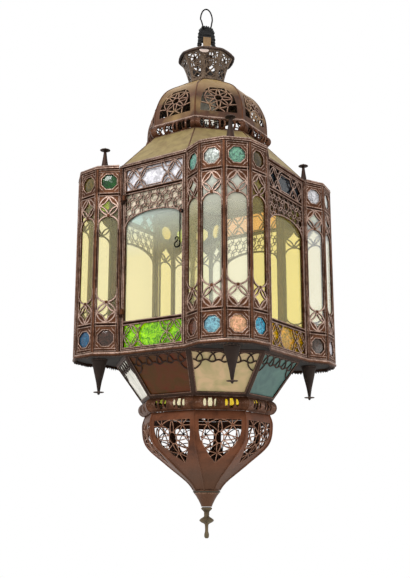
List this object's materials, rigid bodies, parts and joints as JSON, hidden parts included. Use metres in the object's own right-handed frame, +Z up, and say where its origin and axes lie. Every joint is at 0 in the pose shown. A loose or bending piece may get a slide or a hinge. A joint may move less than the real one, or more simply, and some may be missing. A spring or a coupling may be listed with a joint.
{
  "type": "lantern",
  "caption": "Hanging octagonal glass lantern with half-round turrets, pierced dome and bulb, a hinged door with a hook latch, and a wire loop to hang from.",
  "frame": {"origin": "inner top of the wire loop, where the lantern hangs on a hook", "axes": "+Z up, -Y the front turret, +X the right turret as seen from the front"},
  "size_m": [0.4436, 0.4436, 0.9416],
  "materials": {
    "copper_sheet": "patinated copper-brown tin sheet",
    "tan_sheet": "worn tan paint over tin sheet",
    "red_copper": "reddish patinated copper finish",
    "dark_iron": "dark rusty iron",
    "black_wire": "blackened iron wire",
    "black_cord": "black sheathed cord",
    "brass_strap": "dull brass",
    "porcelain": "unglazed porcelain",
    "lamp_glass": "frosted lamp glass",
    "cream_glass": "seeded cream glass",
    "tan_glass": "tan glass",
    "green_glass": "grey-green glass",
    "pale_glass": "pale glass",
    "teal_glass": "teal glass",
    "amber_glass": "amber-brown glass",
    "brown_glass": "brown glass"
  },
  "bodies": {
    "lantern": {"turret_frame_front": "copper_sheet", "turret_glass_front": "cream_glass", "turret_cap_front": "copper_sheet", "turret_finial_front": "dark_iron", "pendant_front": "dark_iron", "turret_frame_right": "copper_sheet", "turret_glass_right": "cream_glass", "turret_cap_right": "copper_sheet", "turret_finial_right": "dark_iron", "pendant_right": "dark_iron", "turret_frame_back": "copper_sheet", "turret_glass_back": "cream_glass", "turret_cap_back": "copper_sheet", "turret_finial_back": "dark_iron", "pendant_back": "dark_iron", "turret_frame_left": "copper_sheet", "turret_glass_left": "cream_glass", "turret_cap_left": "copper_sheet", "turret_finial_left": "dark_iron", "pendant_left": "dark_iron", "side_frame_front_right": "copper_sheet", "side_glass_front_right": "cream_glass", "side_frame_back_right": "copper_sheet", "side_glass_back_right": "cream_glass", "side_frame_back_left": "copper_sheet", "side_glass_back_left": "cream_glass", "hinge_lower": "dark_iron", "hinge_upper": "dark_iron", "base_tray": "copper_sheet", "eaves_ring": "copper_sheet", "roof": "tan_sheet", "upper_roll": "copper_sheet", "dome": "tan_sheet", "crown": "copper_sheet", "taper_frame": "dark_iron", "taper_pane_1": "tan_glass", "taper_pane_2": "green_glass", "taper_pane_3": "pale_glass", "taper_pane_4": "teal_glass", "taper_pane_5": "tan_glass", "taper_pane_6": "amber_glass", "taper_pane_7": "pale_glass", "taper_pane_8": "brown_glass", "lower_roll": "copper_sheet", "bulb": "red_copper", "bulb_tip": "red_copper", "bottom_finial": "red_copper", "bail": "dark_iron", "hanging_strap": "brass_strap", "cord_winding": "black_cord", "wire_loop": "black_wire", "lamp_stem": "brass_strap", "lamp_holder": "porcelain", "lamp_bulb": "lamp_glass"},
    "door": {"door_frame": "copper_sheet", "door_glass": "cream_glass"},
    "latch": {"door_latch": "black_wire"}
  },
  "joints": [
    {"name": "door_hinge", "type": "hinge", "parent": "lantern", "child": "door", "pos_m": [-0.1531, -0.07207, -0.5003], "axis": [0, 0, -1], "range_deg": [0, 110]},
    {"name": "latch_pivot", "type": "hinge", "parent": "door", "child": "latch", "pos_m": [-0.07285, -0.15105, -0.4428], "axis": [-0.7071, -0.7071, 0], "range_deg": [-150, 5]}
  ]
}
